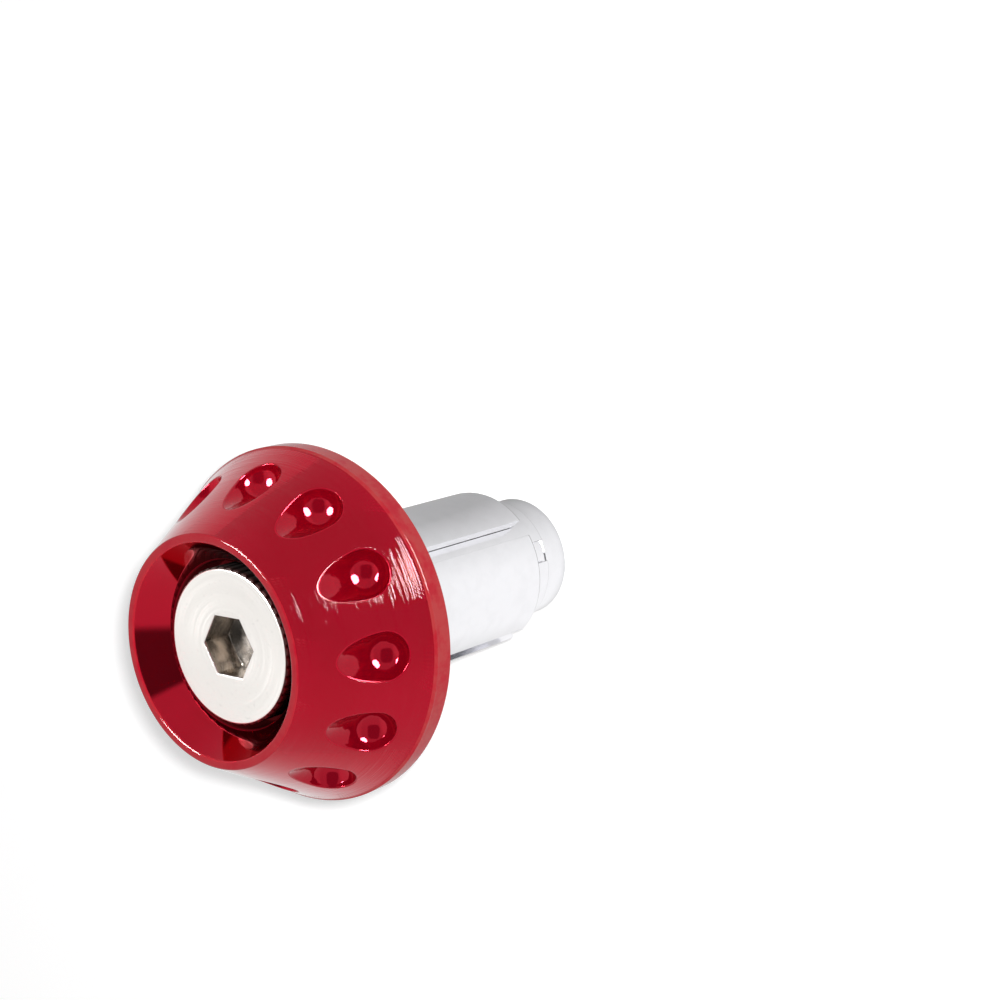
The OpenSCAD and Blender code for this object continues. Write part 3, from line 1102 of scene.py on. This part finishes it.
def studio_world(ambient, right, up, back):
    """Soft light from all round; shiny surfaces see pale walls and a dim patch behind the camera."""
    world = bpy.data.worlds.new("Studio")
    world.use_nodes = True
    build = Nodes(world.node_tree)
    sight = build.node("ShaderNodeTexCoord")["Generated"]

    def along(way):
        """Share of a direction that points the given way."""
        return build.vector("DOT_PRODUCT", sight, way)["Value"]

    def out_of_patch(way, middle, half):
        """Distance from the middle of the dim patch, as a share of its half width."""
        return build.sum("DIVIDE", build.sum("ABSOLUTE", build.less(along(way), middle)), half)

    wall = 0.58
    side_wall = build.ramp(along((0.0, -1.0, 0.0)), -0.2, 0.8, wall, 0.70)
    far_wall = build.ramp(along((-0.70, -0.25, 0.67)), 0.45, 0.80, wall, 1.0)
    squareness = 3.5
    wide = build.sum("POWER", out_of_patch(right, 0.03, 0.46), squareness)
    tall = build.sum("POWER", out_of_patch(up, -0.06, 0.54), squareness)
    away = build.sum("POWER", build.sum("ADD", wide, tall), 1.0 / squareness)
    in_front = build.ramp(along(back), 0.0, 0.1, 2.0, 0.0)
    dim = build.ramp(build.most(away, in_front), 0.90, 1.07, 0.17, 1.0)
    pale = build.times(build.most(side_wall, far_wall), dim)
    ray = build.node("ShaderNodeLightPath")
    for_shine = {0: ray["Is Glossy Ray"], 2: ambient, 3: pale}
    shiny = build.node("ShaderNodeMix", for_shine, data_type="FLOAT")[0]
    seen = build.most(ray["Is Camera Ray"], ray["Is Transmission Ray"])
    strength = build.node("ShaderNodeMix", {0: seen, 2: shiny, 3: 1.0}, data_type="FLOAT")[0]
    background = build.tree.nodes["Background"].inputs
    build.fill(background["Color"], (1.0, 1.0, 1.0, 1.0))
    build.fill(background["Strength"], strength)
    bpy.context.scene.world = world


def studio_floor():
    """A floor that is white in the open and keeps the soft shadow; in metal it shows a glow with painted
    shade, greyer to one side and darker close round the part.
    """
    half = 0.3
    corners = [(-half, -half, 0.0), (half, -half, 0.0), (half, half, 0.0), (-half, half, 0.0)]
    mesh = bpy.data.meshes.new("floor")
    mesh.from_pydata(corners, [], [(0, 1, 2, 3)])
    floor = bpy.data.objects.new("floor", mesh)
    bpy.context.scene.collection.objects.link(floor)
    paper = Finish("white_paper")
    ray = paper.node("ShaderNodeLightPath")
    shiny = ray["Is Glossy Ray"]
    reach = paper.radius
    ahead = paper.sum("DIVIDE", paper.x, reach)
    aside = paper.sum("DIVIDE", paper.y, reach)
    # Painted shade in reflections: for shiny surfaces the floor glows, graded to one side and dimmed in a
    # ring close round the part.
    near = paper.line(ahead, 0.36, paper.line(aside, -0.16, 0.42))
    near = paper.sum("MINIMUM", paper.most(near, 0.20), 0.76)
    near = paper.times(near, paper.ramp(reach, 6.5 * MM, 8.0 * MM, 0.55, 1.0))
    open_level = 0.58
    far = paper.ramp(reach, 20.0 * MM, 60.0 * MM)
    glow_in_metal_with_shade = paper.line(paper.less(open_level, near), far, near)
    glow = paper.times(ray["Is Camera Ray"], 0.26)
    paper.set(
        Roughness=1.0,
        Specular_IOR_Level=0.0,
        Emission_Color=(1.0, 1.0, 1.0, 1.0),
        Emission_Strength=paper.line(shiny, glow_in_metal_with_shade, glow),
        Base_Color=paper.blend(shiny, (0.9, 0.9, 0.9), (0.25, 0.25, 0.25)),
    )
    mesh.materials.append(paper.material)


class BAREND_OT_studio(bpy.types.Operator):
    """Make the floor, the soft lamps, the white surroundings and the camera"""

    bl_idname = "barend.studio"
    bl_label = "Studio"

    def execute(self, context):
        settings = context.scene.barend_studio
        scene = context.scene
        place = Vector(settings.camera_place)
        back = (place - Vector(settings.aim)).normalized()
        right = Vector((0.0, 1.0, 0.0)).cross(back).normalized()
        up = back.cross(right)
        turn = Matrix.Rotation(settings.roll, 3, back)
        right = turn @ right
        up = turn @ up
        data = bpy.data.cameras.new("Camera")
        data.lens = settings.lens
        data.sensor_width = 36.0
        data.clip_start = 0.005
        camera = bpy.data.objects.new("Camera", data)
        camera.matrix_world = Matrix.Translation(place) @ Matrix((right, up, back)).transposed().to_4x4()
        scene.collection.objects.link(camera)
        scene.camera = camera
        scene.view_settings.view_transform = "Standard"
        studio_world(settings.ambient, right, up, back)
        studio_floor()
        gloss_lamp("lamp_low", (0.8358, 0.4943, -0.2200), 0.11, math.radians(32), settings.gloss)
        gloss_lamp("lamp_high", (-0.3099, 0.4732, 0.8247), 0.3, math.radians(31), settings.gloss)
        near = place + 0.0033 * (right + up)
        waist = Vector((0.0, 0.0, 0.03))
        lamp = soft_lamp("lamp_near", near, waist, 0.0058, settings.near_level)
        even_out(lamp, (place - waist).length)
        lamp.visible_glossy = False
        return {"FINISHED"}


class BAREND_PT_panel(bpy.types.Panel):
    """Lists the steps that build the bar end weight"""

    bl_idname = "BAREND_PT_panel"
    bl_label = "Bar end weight"
    bl_space_type = "VIEW_3D"
    bl_region_type = "UI"
    bl_category = "Bar end"

    def draw(self, context):
        for step in STEPS:
            self.layout.operator(step.bl_idname)


GROUPS = {
    "barend_head": HeadSizes,
    "barend_dimple": DimpleSizes,
    "barend_screw": ScrewSizes,
    "barend_washer": WasherSizes,
    "barend_outer": OuterSizes,
    "barend_inner": InnerSizes,
    "barend_nut": NutSizes,
    "barend_colours": FinishColours,
    "barend_studio": StudioSettings,
}
STEPS = (
    BAREND_OT_weight_head,
    BAREND_OT_washer,
    BAREND_OT_socket_screw,
    BAREND_OT_expanders,
    BAREND_OT_wedge_nut,
    BAREND_OT_studio,
)


def register():
    """Registers the sizes, the steps and the panel."""
    for kind in (*GROUPS.values(), *STEPS, BAREND_PT_panel):
        bpy.utils.register_class(kind)
    for name, group in GROUPS.items():
        setattr(bpy.types.Scene, name, bpy.props.PointerProperty(type=group))


def unregister():
    """Takes them all away again."""
    for name in GROUPS:
        delattr(bpy.types.Scene, name)
    for kind in (BAREND_PT_panel, *reversed(STEPS), *reversed(GROUPS.values())):
        bpy.utils.unregister_class(kind)


def main():
    """Builds the pieces and the studio."""
    register()
    bpy.ops.barend.weight_head()
    bpy.ops.barend.washer()
    bpy.ops.barend.socket_screw()
    bpy.ops.barend.expanders()
    bpy.ops.barend.wedge_nut()
    bpy.ops.barend.studio()


if __name__ == "__main__":
    main()
